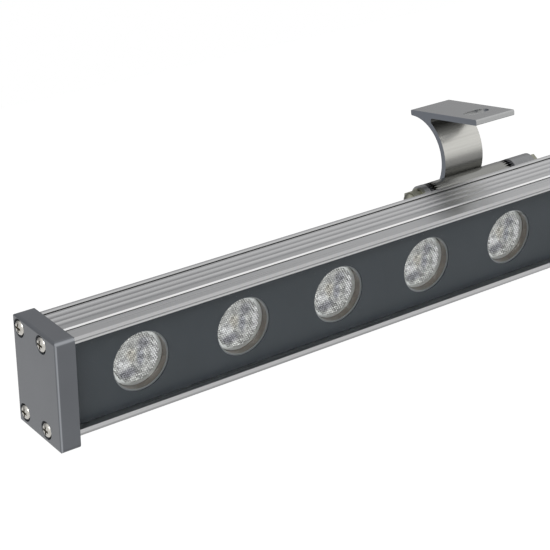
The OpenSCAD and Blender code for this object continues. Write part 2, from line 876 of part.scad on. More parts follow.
module pivot_washers() {
    difference() {
        rod_x(ear_out_left - washer_t, ear_out_left, washer_r);
        rod_x(ear_out_left - washer_t - over, ear_out_left + over, pivot_r + slip_gap);
    }
    difference() {
        rod_x(nut_x, nut_x + spring_t, spring_r);
        rod_x(nut_x - over, nut_x + spring_t + over, pivot_r + slip_gap);
        translate([nut_x - over, -spring_slit / 2, 0])
            cube([spring_t + 2 * over, spring_slit, spring_r + over]);
    }
}

module pivot_nut() {
    difference() {
        union() {
            hex_x(bolt_end_x, nut_x, nut_hex);
            mirror([1, 0, 0]) domed_x(-nut_x, -nut_end_x, nut_dome_r, nut_dome_r, bolt_end_x - nut_end_x);
        }
        rod_x(bolt_end_x + nut_end_wall, nut_x + over, pivot_r + fit_gap);
    }
}

module pivot_bolt_left() {
    color("tan") at_pivot(-1) pivot_bolt();
}

module pivot_bolt_right() {
    color("tan") at_pivot(1) pivot_bolt();
}

module pivot_washers_left() {
    color("silver") at_pivot(-1) pivot_washers();
}

module pivot_washers_right() {
    color("silver") at_pivot(1) pivot_washers();
}

module pivot_nut_left() {
    color("tan") at_pivot(-1) pivot_nut();
}

module pivot_nut_right() {
    color("tan") at_pivot(1) pivot_nut();
}

housing();
end_cap_left();
end_cap_right();
cap_gasket_left();
cap_gasket_right();
cap_screws_left();
cap_screws_right();
front_glass();
front_mask();
glass_seal();
led_board();
thermal_pad();
led_packages();
lens_holders();
board_screws();
terminal_block();
gland_body();
gland_nut();
gland_seal();
gland_washer();
bracket_arm_left();
bracket_arm_right();
hinge_carrier_left();
hinge_carrier_right();
pivot_bolt_left();
pivot_bolt_right();
pivot_washers_left();
pivot_washers_right();
pivot_nut_left();
pivot_nut_right();
carrier_grub_screws_left();
carrier_grub_screws_right();
for (i = [1 : led_count]) lens(i);
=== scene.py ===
# Linear floodlight: an extruded aluminium bar of 24 lensed LEDs on two tilting brackets.
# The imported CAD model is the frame, and this script gives it finishes, the domes on its lenses,
# the ink on its film, light and a camera.
import math

import bmesh
import bpy
from mathutils import Euler, Matrix, Vector


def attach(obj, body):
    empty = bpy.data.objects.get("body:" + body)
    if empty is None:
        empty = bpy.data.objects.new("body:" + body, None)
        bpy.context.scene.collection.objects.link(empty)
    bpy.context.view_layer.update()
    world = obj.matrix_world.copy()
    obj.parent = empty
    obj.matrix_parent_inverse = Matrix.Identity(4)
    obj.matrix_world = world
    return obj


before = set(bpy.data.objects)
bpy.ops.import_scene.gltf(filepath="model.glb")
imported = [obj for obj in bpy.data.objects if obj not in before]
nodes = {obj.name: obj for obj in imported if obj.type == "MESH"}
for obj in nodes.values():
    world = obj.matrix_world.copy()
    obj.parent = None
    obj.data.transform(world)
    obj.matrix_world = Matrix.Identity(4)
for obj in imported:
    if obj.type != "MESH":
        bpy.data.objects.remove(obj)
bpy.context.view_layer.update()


# Housing: one aluminium extrusion, cut to length and then anodised in its natural grey.
# The die leaves fine lines along its whole length, and the satin skin softens what it reflects.
def linear(hex_colour):
    """An sRGB hex colour as the linear colour that a shader takes."""
    parts = [int(hex_colour[i:i + 2], 16) / 255 for i in (1, 3, 5)]
    return [p / 12.92 if p <= 0.04045 else ((p + 0.055) / 1.055) ** 2.4 for p in parts] + [1]


def add(tree, kind, inputs=None, **settings):
    """Adds one node with its settings. An input takes a value, an output, or a node, which
    gives its first output."""
    node = tree.nodes.new(kind)
    for name, value in settings.items():
        setattr(node, name, value)
    for name, value in (inputs or {}).items():
        used = [s for s in node.inputs if s.enabled]
        socket = used[name] if isinstance(name, int) else next(s for s in used if s.name == name)
        if isinstance(value, bpy.types.Node):
            value = next(s for s in value.outputs if s.enabled)
        if isinstance(value, bpy.types.NodeSocket):
            tree.links.new(value, socket)
        else:
            socket.default_value = value
    return node


def new_finish(name):
    """An empty material and its node tree."""
    material = bpy.data.materials.new(name)
    material.use_nodes = True
    material.node_tree.nodes.clear()
    return material, material.node_tree


def apply_finish(material, *names):
    """Puts a material on CAD nodes."""
    for name in names:
        nodes[name].data.materials.clear()
        nodes[name].data.materials.append(material)


rest_tilt = math.radians(10.5)  # the lamp's face looks this far down
hinge = Vector((0, 0.0082, -0.0292))
hinge_in_lamp = Vector((0, 0.03235, 0.0109))
# The lamp's own axes: X along the bar, Y rearwards from the front lips, Z up
lamp_frame = (Matrix.Translation(hinge) @ Matrix.Rotation(rest_tilt, 4, "X")
              @ Matrix.Translation(-hinge_in_lamp))
into_lamp = {"Location": lamp_frame.translation, "Rotation": (rest_tilt, 0, 0)}
lamp_front = Vector((0, -math.cos(rest_tilt), -math.sin(rest_tilt)))
bevel_from, bevel_to = 6.0e-3, 6.9e-3  # the bevel behind the front groove, from the lips
die_line = 1.1e-3  # between die lines, drawn coarser than the real 0.2 mm so that they show
die_run = 160e-3  # length over which a die line fades

# Anodised aluminium, extruded: a satin metal, a little blue, streaked along the bar, with a
# painted highlight, a white line on the bevel behind its front groove
anodised, tree = new_finish("anodised_aluminium_extruded")
place = add(tree, "ShaderNodeTexCoord").outputs["Object"]
along = add(tree, "ShaderNodeMapping", {
    "Vector": place, "Scale": (1 / die_run, 1 / die_line, 1 / die_line)})
streaks = add(tree, "ShaderNodeTexNoise", {
    "Vector": along, "Scale": 1, "Detail": 3, "Roughness": 0.6})
tone = add(tree, "ShaderNodeMix", {
    "Factor": streaks, "A": linear("#b4b5b6"), "B": linear("#cccccc")}, data_type="RGBA")
in_lamp = add(tree, "ShaderNodeMapping", {"Vector": place, **into_lamp}, vector_type="TEXTURE")
axes = add(tree, "ShaderNodeSeparateXYZ", {"Vector": in_lamp})
# painted highlight: a white line on the bevel behind the front groove
painted_bevel_highlight = add(tree, "ShaderNodeMath", {
    0: axes.outputs["Y"], 1: (bevel_from + bevel_to) / 2, 2: (bevel_to - bevel_from) / 2},
    operation="COMPARE")
tone = add(tree, "ShaderNodeMix", {
    "Factor": painted_bevel_highlight, "A": tone, "B": linear("#f2f2f2")}, data_type="RGBA")
rub = add(tree, "ShaderNodeMapRange", {"Value": streaks, "To Min": 0.24, "To Max": 0.34})
lines = add(tree, "ShaderNodeBump", {"Height": streaks, "Strength": 0.35, "Distance": 4e-5})
metal = add(tree, "ShaderNodeBsdfPrincipled", {
    "Base Color": tone, "Metallic": 1, "Roughness": rub, "Normal": lines})
add(tree, "ShaderNodeOutputMaterial", {"Surface": metal})
apply_finish(anodised, "housing")


# Circuit board on its thermal pad: a long aluminium board with white solder mask, one LED
# package behind each lens, held down by six steel screws. The grey silicone pad carries the
# heat to the housing.
peel_width = 0.8e-3
ceramic_grain = 0.3e-3
powder_grain = 0.15e-3

# Solder mask, screen printed: a slightly uneven white with a soft gloss, which sends stray light
# back out
white_mask, tree = new_finish("white_solder_mask")
place = add(tree, "ShaderNodeTexCoord").outputs["Object"]
peel = add(tree, "ShaderNodeTexNoise", {"Vector": place, "Scale": 1 / peel_width, "Detail": 2})
tone = add(tree, "ShaderNodeMix", {
    "Factor": peel, "A": linear("#dcdedc"), "B": linear("#eef0ec")}, data_type="RGBA")
coat = add(tree, "ShaderNodeBsdfPrincipled", {"Base Color": tone, "Roughness": 0.35})
add(tree, "ShaderNodeOutputMaterial", {"Surface": coat})
apply_finish(white_mask, "led_board")

# Silicone thermal pad: soft, dull grey, speckled by its ceramic grains
silicone, tree = new_finish("silicone_thermal_pad")
place = add(tree, "ShaderNodeTexCoord").outputs["Object"]
grains = add(tree, "ShaderNodeTexNoise", {
    "Vector": place, "Scale": 1 / ceramic_grain, "Detail": 2})
tone = add(tree, "ShaderNodeMix", {
    "Factor": grains, "A": linear("#85898d"), "B": linear("#989ca0")}, data_type="RGBA")
dull = add(tree, "ShaderNodeBsdfPrincipled", {"Base Color": tone, "Roughness": 0.8})
add(tree, "ShaderNodeOutputMaterial", {"Surface": dull})
apply_finish(silicone, "thermal_pad")

# Phosphor under a silicone dome: warm yellow with a clear gloss
phosphor, tree = new_finish("led_phosphor")
place = add(tree, "ShaderNodeTexCoord").outputs["Object"]
powder = add(tree, "ShaderNodeTexNoise", {
    "Vector": place, "Scale": 1 / powder_grain, "Detail": 2})
tone = add(tree, "ShaderNodeMix", {
    "Factor": powder, "A": linear("#c9b24a"), "B": linear("#e0d07a")}, data_type="RGBA")
dome = add(tree, "ShaderNodeBsdfPrincipled", {
    "Base Color": tone, "Roughness": 0.3, "Coat Weight": 0.6, "Coat Roughness": 0.05})
add(tree, "ShaderNodeOutputMaterial", {"Surface": dome})
apply_finish(phosphor, "led_packages")


# Steel screws: stainless pan heads with a cross recess, cold headed and left bright.
# The board's screws, the caps' screws and the grub screws are all of this steel.
scuff_width = 0.9e-3

# Stainless steel, cold headed: bright and nearly mirror smooth, with small scuffs and dents
stainless, tree = new_finish("stainless_steel_cold_headed")
place = add(tree, "ShaderNodeTexCoord").outputs["Object"]
scuffs = add(tree, "ShaderNodeTexNoise", {"Vector": place, "Scale": 1 / scuff_width, "Detail": 4})
tone = add(tree, "ShaderNodeMix", {
    "Factor": scuffs, "A": linear("#b9b5ad"), "B": linear("#dad8d2")}, data_type="RGBA")
rub = add(tree, "ShaderNodeMapRange", {"Value": scuffs, "To Min": 0.16, "To Max": 0.32})
dents = add(tree, "ShaderNodeBump", {"Height": scuffs, "Strength": 0.2, "Distance": 3e-5})
steel = add(tree, "ShaderNodeBsdfPrincipled", {
    "Base Color": tone, "Metallic": 1, "Roughness": rub, "Normal": dents})
add(tree, "ShaderNodeOutputMaterial", {"Surface": steel})
apply_finish(stainless, "board_screws", "cap_screws_left", "cap_screws_right")


# Terminal block: a small block on the board's end, where the supply wires are clamped.
# It is injection moulded in nylon and seated on the board.
cloud_width = 3e-3

# Natural nylon, injection moulded: milky white with a waxy gloss
nylon, tree = new_finish("natural_nylon_moulded")
place = add(tree, "ShaderNodeTexCoord").outputs["Object"]
clouds = add(tree, "ShaderNodeTexNoise", {"Vector": place, "Scale": 1 / cloud_width, "Detail": 2})
tone = add(tree, "ShaderNodeMix", {
    "Factor": clouds, "A": linear("#d5d2c6"), "B": linear("#e6e3d8")}, data_type="RGBA")
waxy = add(tree, "ShaderNodeBsdfPrincipled", {
    "Base Color": tone, "Roughness": 0.42, "IOR": 1.53, "Subsurface Weight": 0.1})
add(tree, "ShaderNodeOutputMaterial", {"Surface": waxy})
apply_finish(nylon, "terminal_block")


# Lens holders: 24 moulded polycarbonate tubes with a ledge that stand on the board round the
# LEDs. Through the glass a warm grey band of their wall shows beside each lens, and their
# front rim, pale with a painted highlight.
sheen_width = 2e-3
rim_from, rim_full = 0.8, 0.95  # cosines of a face's turn from the lamp's front

# Polycarbonate, moulded: smooth and glossy, warm grey in the tube's shade, with a painted
# highlight at its rim
holder, tree = new_finish("polycarbonate_moulded")
place = add(tree, "ShaderNodeTexCoord").outputs["Object"]
sheen = add(tree, "ShaderNodeTexNoise", {"Vector": place, "Scale": 1 / sheen_width, "Detail": 3})
tone = add(tree, "ShaderNodeMix", {
    "Factor": sheen, "A": linear("#4a443e"), "B": linear("#69625a")}, data_type="RGBA")
# painted highlight on the front rim: faces that look to the front turn pale
frontness = add(tree, "ShaderNodeVectorMath", {
    0: add(tree, "ShaderNodeTexCoord").outputs["Normal"], 1: lamp_front},
    operation="DOT_PRODUCT")
painted_rim_highlight = add(tree, "ShaderNodeMapRange", {
    "Value": frontness.outputs["Value"], "From Min": rim_from, "From Max": rim_full})
tone = add(tree, "ShaderNodeMix", {
    "Factor": painted_rim_highlight, "A": tone, "B": linear("#8d9091")}, data_type="RGBA")
wall = add(tree, "ShaderNodeBsdfPrincipled", {"Base Color": tone, "Roughness": 0.3, "IOR": 1.58})
add(tree, "ShaderNodeOutputMaterial", {"Surface": wall})
apply_finish(holder, "lens_holders")


# Lenses: 24 clear acrylic collimators, 20 mm across, pressed into the holders.
# The face of each is moulded with a honeycomb of small domes that mixes the beam.
led_count = 24
led_pitch = 40.6e-3
lens_face = 7.0e-3  # behind the front lips
facet_reach = 8.7e-3  # radius of the honeycomb
facet_pitch = 0.95e-3
facet_row = facet_pitch * math.sqrt(0.75)
facet_height = 0.3e-3
facet_gap = 2e-5  # between the lens face and the domes' base, so that the two don't share a plane
facet_weld = facet_pitch / 20  # corners of neighbouring domes closer than this are one
fade_out, fade_in = 0.5e-3, 0.8e-3  # the domes' tone ends softly over the honeycomb's edge
foot_share, crest_share = 0.15, 0.5  # shares of a dome's height between which it brightens
foot_light = 0.7
glint_pitch = 1.2e-3  # coarser than the domes, so that a glint is as wide as in the photograph
dimmest_glint = 0.45
patch_rim, patch_core = 1.0, 0.3  # shares of its reach where a patch starts and where it is full
painted_patches = (  # middle across and up, reach across and up, colour
    ((-1.9e-3, 1.2e-3), (2.9e-3, 3.8e-3), "#e6e2d8"),  # painted view of the bore, its beige half
    ((1.6e-3, -0.3e-3), (2.1e-3, 4.8e-3), "#c3c4ca"),  # painted view of the bore, its grey half
    ((2.9e-3, 4.5e-3), (3.6e-3, 3.2e-3), "#c4c4c9"),  # painted shade above
    ((-3.6e-3, -4.6e-3), (5.6e-3, 3.0e-3), "#b0b0b6"),  # painted shade below
    ((7.0e-3, -0.2e-3), (2.9e-3, 6.4e-3), "#ffffff"),  # painted daylight reflection at the right
    ((-5.2e-3, -1.1e-3), (3.8e-3, 3.6e-3), "#ffffff"))  # painted daylight reflection at the left

# Acrylic, injection moulded: its inner walls turn daylight back like a mirror, hence the metal
# share. Its tone is painted light: each dome has a painted glint of random brightness, brighter at
# its crest, over painted patches, two of reflected daylight, two of shade, and a view of the bore,
# beige beside grey.
acrylic, tree = new_finish("acrylic_lens_moulded")
place = add(tree, "ShaderNodeTexCoord").outputs["Object"]
in_lamp = add(tree, "ShaderNodeMapping", {"Vector": place, **into_lamp}, vector_type="TEXTURE")
axes = add(tree, "ShaderNodeSeparateXYZ", {"Vector": in_lamp})
cell = add(tree, "ShaderNodeMath", {
    0: axes.outputs["X"], 1: led_pitch, 2: 0.0}, operation="WRAP")
across = add(tree, "ShaderNodeMath", {0: cell, 1: led_pitch / 2}, operation="SUBTRACT")
flat = add(tree, "ShaderNodeCombineXYZ", {"X": across, "Y": axes.outputs["Z"]})
body = linear("#efefec")
# painted reflections and shade, one patch after another
for middle, reach, colour in painted_patches:
    oval = add(tree, "ShaderNodeMapping", {
        "Vector": flat, "Location": (*middle, 0), "Scale": (*reach, 1)}, vector_type="TEXTURE")
    off_middle = add(tree, "ShaderNodeVectorMath", {0: oval}, operation="LENGTH")
    patch = add(tree, "ShaderNodeMapRange", {
        "Value": off_middle.outputs["Value"], "From Min": patch_rim, "From Max": patch_core},
        interpolation_type="SMOOTHSTEP")
    body = add(tree, "ShaderNodeMix", {
        "Factor": patch, "A": body, "B": linear(colour)}, data_type="RGBA")
off_axis = add(tree, "ShaderNodeVectorMath", {0: flat}, operation="LENGTH")
inside = add(tree, "ShaderNodeMapRange", {
    "Value": off_axis.outputs["Value"],
    "From Min": facet_reach + fade_out, "From Max": facet_reach - fade_in},
    interpolation_type="SMOOTHSTEP")
# painted highlight on each dome's crest and painted shade at its foot, then a painted glint per
# cell
painted_crest_light = add(tree, "ShaderNodeMapRange", {
    "Value": axes.outputs["Y"], "From Min": lens_face - facet_height * foot_share,
    "From Max": lens_face - facet_height * crest_share, "To Min": foot_light, "To Max": 1.0})
cells = add(tree, "ShaderNodeTexVoronoi", {"Vector": flat, "Scale": 1 / glint_pitch})
chance = add(tree, "ShaderNodeSeparateXYZ", {"Vector": cells.outputs["Color"]})
glint = add(tree, "ShaderNodeMapRange", {
    "Value": chance.outputs["X"], "To Min": dimmest_glint, "To Max": 1.0})
sparkle = add(tree, "ShaderNodeMath", {0: painted_crest_light, 1: glint}, operation="MULTIPLY")
domes = add(tree, "ShaderNodeVectorMath", {0: body, "Scale": sparkle}, operation="SCALE")
tone = add(tree, "ShaderNodeMix", {
    "Factor": inside, "A": linear("#dadcda"), "B": domes}, data_type="RGBA")
clear = add(tree, "ShaderNodeBsdfPrincipled", {
    "Base Color": tone, "Roughness": 0.25, "IOR": 1.49, "Metallic": 0.6})
add(tree, "ShaderNodeOutputMaterial", {"Surface": clear})
apply_finish(acrylic, *[f"lens_{i:02d}" for i in range(1, led_count + 1)])

honeycomb = bmesh.new()
rows = math.ceil(facet_reach / facet_row)
for row in range(-rows, rows + 1):
    for column in range(-rows, rows + 1):
        middle = Vector(((column + row % 2 / 2) * facet_pitch, row * facet_row, 0))
        if middle.length < facet_reach:
            bmesh.ops.create_circle(honeycomb, cap_ends=True, segments=6,
                                    radius=facet_pitch / math.sqrt(3),
                                    matrix=Matrix.Translation(middle))
bmesh.ops.remove_doubles(honeycomb, verts=honeycomb.verts, dist=facet_weld)
bmesh.ops.poke(honeycomb, faces=honeycomb.faces, offset=facet_height)
for i in range(led_count):
    honeycomb_mesh = bpy.data.meshes.new(f"lens_facets_{i + 1:02d}")
    honeycomb.to_mesh(honeycomb_mesh)
    led_x = (i - (led_count - 1) / 2) * led_pitch
    honeycomb_mesh.transform(lamp_frame @ Matrix.Translation((led_x, lens_face - facet_gap, 0))
                             @ Matrix.Rotation(math.radians(90), 4, "X"))
    honeycomb_mesh.materials.append(acrylic)
    facets = bpy.data.objects.new(honeycomb_mesh.name, honeycomb_mesh)
    bpy.context.scene.collection.objects.link(facets)
    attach(facets, "lamp")
honeycomb.free()


# Seal, mask and glass: a rubber frame presses the glass against the front lips, and a film with
# a hole for each lens hides the inside. All three slide in from the end before the caps go on.
bloom_width = 0.6e-3
ink_cloud = 15e-3
ink_proud = 0.05e-3  # in front of the film
ink_weld = 1e-6  # joins the corners of the loose triangles that the CAD mesh comes in

# Rubber, moulded black: soft and nearly matt, with a faint grey bloom
rubber, tree = new_finish("rubber_moulded_black")
place = add(tree, "ShaderNodeTexCoord").outputs["Object"]
bloom = add(tree, "ShaderNodeTexNoise", {"Vector": place, "Scale": 1 / bloom_width, "Detail": 3})
tone = add(tree, "ShaderNodeMix", {
    "Factor": bloom, "A": linear("#18181a"), "B": linear("#26272a")}, data_type="RGBA")
soft = add(tree, "ShaderNodeBsdfPrincipled", {"Base Color": tone, "Roughness": 0.65, "IOR": 1.52})
add(tree, "ShaderNodeOutputMaterial", {"Surface": soft})
apply_finish(rubber, "glass_seal", "cap_gasket_left", "cap_gasket_right",
             "gland_seal", "gland_washer")

# Polyester film, screen printed: a matt blue black that swallows the light round the lenses
film, tree = new_finish("polyester_film_printed")
place = add(tree, "ShaderNodeTexCoord").outputs["Object"]
ink = add(tree, "ShaderNodeTexNoise", {"Vector": place, "Scale": 1 / ink_cloud, "Detail": 2})
tone = add(tree, "ShaderNodeMix", {
    "Factor": ink, "A": linear("#3b4044"), "B": linear("#3f4449")}, data_type="RGBA")
matt = add(tree, "ShaderNodeBsdfPrincipled", {
    "Base Color": tone, "Roughness": 0.45, "Specular IOR Level": 0.3})
add(tree, "ShaderNodeOutputMaterial", {"Surface": matt})
apply_finish(film, "front_mask")

# The ink is a layer of its own, a hair in front of the film. Film and glass share one plane, and
# without the layer the render shows dark streaks between the lens holes.
ink_layer = bmesh.new()
ink_layer.from_mesh(nodes["front_mask"].data)
bmesh.ops.remove_doubles(ink_layer, verts=ink_layer.verts, dist=ink_weld)
bmesh.ops.transform(ink_layer, verts=ink_layer.verts, matrix=(
    Matrix.Translation(lamp_front * ink_proud) @ nodes["front_mask"].matrix_world))
for face in ink_layer.faces:
    face.smooth = False
ink_mesh = bpy.data.meshes.new("film_ink")
ink_layer.to_mesh(ink_mesh)
ink_layer.free()
ink_mesh.materials.append(film)
film_ink = bpy.data.objects.new(ink_mesh.name, ink_mesh)
bpy.context.scene.collection.objects.link(film_ink)
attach(film_ink, "lamp")

# Toughened glass with a low reflection coat: its IOR is set just over 1, because in the
# photograph it mirrors nothing and bends nothing, and only the film and the lenses show through it
glass, tree = new_finish("toughened_glass_coated")
clean = add(tree, "ShaderNodeBsdfPrincipled", {
    "Base Color": linear("#fafbfb"), "Roughness": 0.0, "IOR": 1.02, "Transmission Weight": 1})
open_to_light = add(tree, "ShaderNodeBsdfTransparent", {"Color": linear("#fafbfb")})
ray = add(tree, "ShaderNodeLightPath")
unseen = add(tree, "ShaderNodeMath", {
    0: ray.outputs["Is Shadow Ray"], 1: ray.outputs["Is Diffuse Ray"]}, operation="MAXIMUM")
pane = add(tree, "ShaderNodeMixShader", {0: unseen, 1: clean, 2: open_to_light})
add(tree, "ShaderNodeOutputMaterial", {"Surface": pane})
apply_finish(glass, "front_glass")


# End caps: zinc alloy castings, powder coated, each screwed to the housing over a rubber gasket
# with four pan head screws.
pebble_width = 0.45e-3
drift_width = 12e-3
# Cosines of a face's turn from the lamp's front: the painted highlight on the edges fades in over
# the first two, and out over the last two
edge_from, edge_full = 0.4, 0.65
edge_last, edge_ends = 0.83, 0.93

# Powder coat on zinc, blue grey: finely pebbled with a low gloss, and a painted highlight on the
# rounded front edges
coated, tree = new_finish("powder_coat_on_zinc")
place = add(tree, "ShaderNodeTexCoord").outputs["Object"]
pebble = add(tree, "ShaderNodeTexNoise", {
    "Vector": place, "Scale": 1 / pebble_width, "Detail": 2})
drift = add(tree, "ShaderNodeTexNoise", {"Vector": place, "Scale": 1 / drift_width, "Detail": 2})
tone = add(tree, "ShaderNodeMix", {
    "Factor": drift, "A": linear("#585b60"), "B": linear("#616469")}, data_type="RGBA")
# painted highlight on the rounded edges round the front face
frontness = add(tree, "ShaderNodeVectorMath", {
    0: add(tree, "ShaderNodeTexCoord").outputs["Normal"], 1: lamp_front},
    operation="DOT_PRODUCT")
turned_in = add(tree, "ShaderNodeMapRange", {
    "Value": frontness.outputs["Value"], "From Min": edge_from, "From Max": edge_full})
turned_out = add(tree, "ShaderNodeMapRange", {
    "Value": frontness.outputs["Value"], "From Min": edge_ends, "From Max": edge_last})
painted_edge_highlight = add(tree, "ShaderNodeMath", {0: turned_in, 1: turned_out}, operation="MULTIPLY")
tone = add(tree, "ShaderNodeMix", {
    "Factor": painted_edge_highlight, "A": tone, "B": linear("#93969b")}, data_type="RGBA")
skin = add(tree, "ShaderNodeBump", {"Height": pebble, "Strength": 0.25, "Distance": 4e-5})
powder = add(tree, "ShaderNodeBsdfPrincipled", {
    "Base Color": tone, "Metallic": 0.4, "Roughness": 0.3, "Normal": skin,
    "Coat Weight": 0.35, "Coat Roughness": 0.12})
add(tree, "ShaderNodeOutputMaterial", {"Surface": powder})
apply_finish(coated, "end_cap_left", "end_cap_right")


# Cable gland: nickel plated brass body and clamping nut in the right cap, turned from hexagon
# bar. The seal inside it would grip the supply cord.
turning_feed = 0.4e-3
turning_run = 6e-3

# Nickel plated brass, turned: a warm bright metal with fine rings round its axis
nickel, tree = new_finish("nickel_plated_brass_turned")
place = add(tree, "ShaderNodeTexCoord").outputs["Object"]
turned = add(tree, "ShaderNodeMapping", {
    "Vector": place, "Scale": (1 / turning_feed, 1 / turning_run, 1 / turning_run)})
rings = add(tree, "ShaderNodeTexNoise", {"Vector": turned, "Scale": 1, "Detail": 3})
tone = add(tree, "ShaderNodeMix", {
    "Factor": rings, "A": linear("#aca89f"), "B": linear("#c9c5bb")}, data_type="RGBA")
feed = add(tree, "ShaderNodeBump", {"Height": rings, "Strength": 0.2, "Distance": 2e-5})
plated = add(tree, "ShaderNodeBsdfPrincipled", {
    "Base Color": tone, "Metallic": 1, "Roughness": 0.24, "Normal": feed})
add(tree, "ShaderNodeOutputMaterial", {"Surface": plated})
apply_finish(nickel, "gland_body", "gland_nut")


# Hinge carriers: two toothed ears and a tongue that rides in the housing's rear slot, milled
# from extruded bar and clamped by grub screws.
bracket_x = 0.3
teeth_from, teeth_to = 16.4e-3, 21.7e-3  # from the middle of a bracket
mill_feed = 0.6e-3
mill_run = 5e-3

# Aluminium, milled: bare metal with faint cutter marks, and painted shade in its teeth
bright, tree = new_finish("aluminium_milled")
place = add(tree, "ShaderNodeTexCoord").outputs["Object"]
cut = add(tree, "ShaderNodeMapping", {
    "Vector": place, "Scale": (1 / mill_feed, 1 / mill_run, 1 / mill_run)})
marks = add(tree, "ShaderNodeTexNoise", {"Vector": cut, "Scale": 1, "Detail": 3})
tone = add(tree, "ShaderNodeMix", {
    "Factor": marks, "A": linear("#77787a"), "B": linear("#959697")}, data_type="RGBA")
axes = add(tree, "ShaderNodeSeparateXYZ", {"Vector": place})
from_centre = add(tree, "ShaderNodeMath", {0: axes.outputs["X"]}, operation="ABSOLUTE")
past_bracket = add(tree, "ShaderNodeMath", {
    0: from_centre, 1: bracket_x}, operation="SUBTRACT")
from_bracket = add(tree, "ShaderNodeMath", {0: past_bracket}, operation="ABSOLUTE")
# painted shade in the gaps of the teeth
painted_teeth_shade = add(tree, "ShaderNodeMath", {
    0: from_bracket, 1: (teeth_from + teeth_to) / 2, 2: (teeth_to - teeth_from) / 2},
    operation="COMPARE")
tone = add(tree, "ShaderNodeMix", {
    "Factor": painted_teeth_shade, "A": tone, "B": linear("#46474a")}, data_type="RGBA")
score = add(tree, "ShaderNodeBump", {"Height": marks, "Strength": 0.25, "Distance": 2e-5})
milled = add(tree, "ShaderNodeBsdfPrincipled", {
    "Base Color": tone, "Metallic": 1, "Roughness": 0.3, "Normal": score})
add(tree, "ShaderNodeOutputMaterial", {"Surface": milled})
apply_finish(bright, "hinge_carrier_left", "hinge_carrier_right")
apply_finish(stainless, "carrier_grub_screws_left", "carrier_grub_screws_right")


# Bracket arms: plate, bend and hinge barrel in one short length of extrusion, sawn off and
# anodised.
plate_t = 2.6e-3
plate_fade = 0.5e-3  # below the plate's underside
foot_from, foot_full = 16e-3, 5e-3  # above the hinge, where the painted shade fades in
corner_from, corner_full = 6.5e-3, 1.5e-3  # under the plate, where the painted shade fades in
draw_line = 0.9e-3
draw_run = 50e-3
sawn_from, sawn_full = 0.8, 0.95  # how far a face looks along the lamp
front_from, front_full = 0, -0.2  # how far a face looks rearwards, so below 0 it looks forwards

# Aluminium, extruded and sawn: its drawn faces are bright with lines along the lamp, its two
# sawn faces are dull, and painted shade darkens the barrel, the foot of the bend and the corner
# under the plate
drawn, tree = new_finish("aluminium_extruded_and_sawn")
place = add(tree, "ShaderNodeTexCoord")
along = add(tree, "ShaderNodeMapping", {
    "Vector": place.outputs["Object"], "Scale": (1 / draw_run, 1 / draw_line, 1 / draw_line)})
streaks = add(tree, "ShaderNodeTexNoise", {"Vector": along, "Scale": 1, "Detail": 3})
facing = add(tree, "ShaderNodeSeparateXYZ", {"Vector": place.outputs["Normal"]})
sideways = add(tree, "ShaderNodeMath", {0: facing.outputs["X"]}, operation="ABSOLUTE")
sawn = add(tree, "ShaderNodeMapRange", {
    "Value": sideways, "From Min": sawn_from, "From Max": sawn_full})
lit = add(tree, "ShaderNodeMix", {
    "Factor": streaks, "A": linear("#bebdb9"), "B": linear("#d3d2cc")}, data_type="RGBA")
axes = add(tree, "ShaderNodeSeparateXYZ", {"Vector": place.outputs["Object"]})
# painted shade on the barrel and the foot of the bend
painted_foot_shade = add(tree, "ShaderNodeMapRange", {
    "Value": axes.outputs["Z"],
    "From Min": hinge.z + foot_from, "From Max": hinge.z + foot_full},
    interpolation_type="SMOOTHSTEP")
lit = add(tree, "ShaderNodeMix", {
    "Factor": painted_foot_shade, "A": lit, "B": linear("#8e8e8b")}, data_type="RGBA")
# painted shade in the corner under the plate, on faces that look forwards
under_plate = add(tree, "ShaderNodeMapRange", {
    "Value": axes.outputs["Z"],
    "From Min": -plate_t - corner_from, "From Max": -plate_t - corner_full},
    interpolation_type="SMOOTHSTEP")
forward = add(tree, "ShaderNodeMapRange", {
    "Value": facing.outputs["Y"], "From Min": front_from, "From Max": front_full})
painted_corner_shade = add(tree, "ShaderNodeMath", {0: under_plate, 1: forward}, operation="MULTIPLY")
lit = add(tree, "ShaderNodeMix", {
    "Factor": painted_corner_shade, "A": lit, "B": linear("#4c4c4a")}, data_type="RGBA")
plate = add(tree, "ShaderNodeMapRange", {
    "Value": axes.outputs["Z"], "From Min": -plate_t - plate_fade, "From Max": -plate_t})
lit = add(tree, "ShaderNodeMix", {
    "Factor": plate, "A": lit, "B": linear("#b2b3b3")}, data_type="RGBA")
tone = add(tree, "ShaderNodeMix", {
    "Factor": sawn, "A": lit, "B": linear("#797d84")}, data_type="RGBA")
rub = add(tree, "ShaderNodeMapRange", {"Value": sawn, "To Min": 0.27, "To Max": 0.45})
lines = add(tree, "ShaderNodeBump", {"Height": streaks, "Strength": 0.3, "Distance": 3e-5})
metal = add(tree, "ShaderNodeBsdfPrincipled", {
    "Base Color": tone, "Metallic": 1, "Roughness": rub, "Normal": lines})
add(tree, "ShaderNodeOutputMaterial", {"Surface": metal})
apply_finish(drawn, "bracket_arm_left", "bracket_arm_right")


# Pivot hardware: a steel bolt through each barrel, with washers and a domed cap nut at its left
# end, all zinc plated.
tint_width = 2e-3

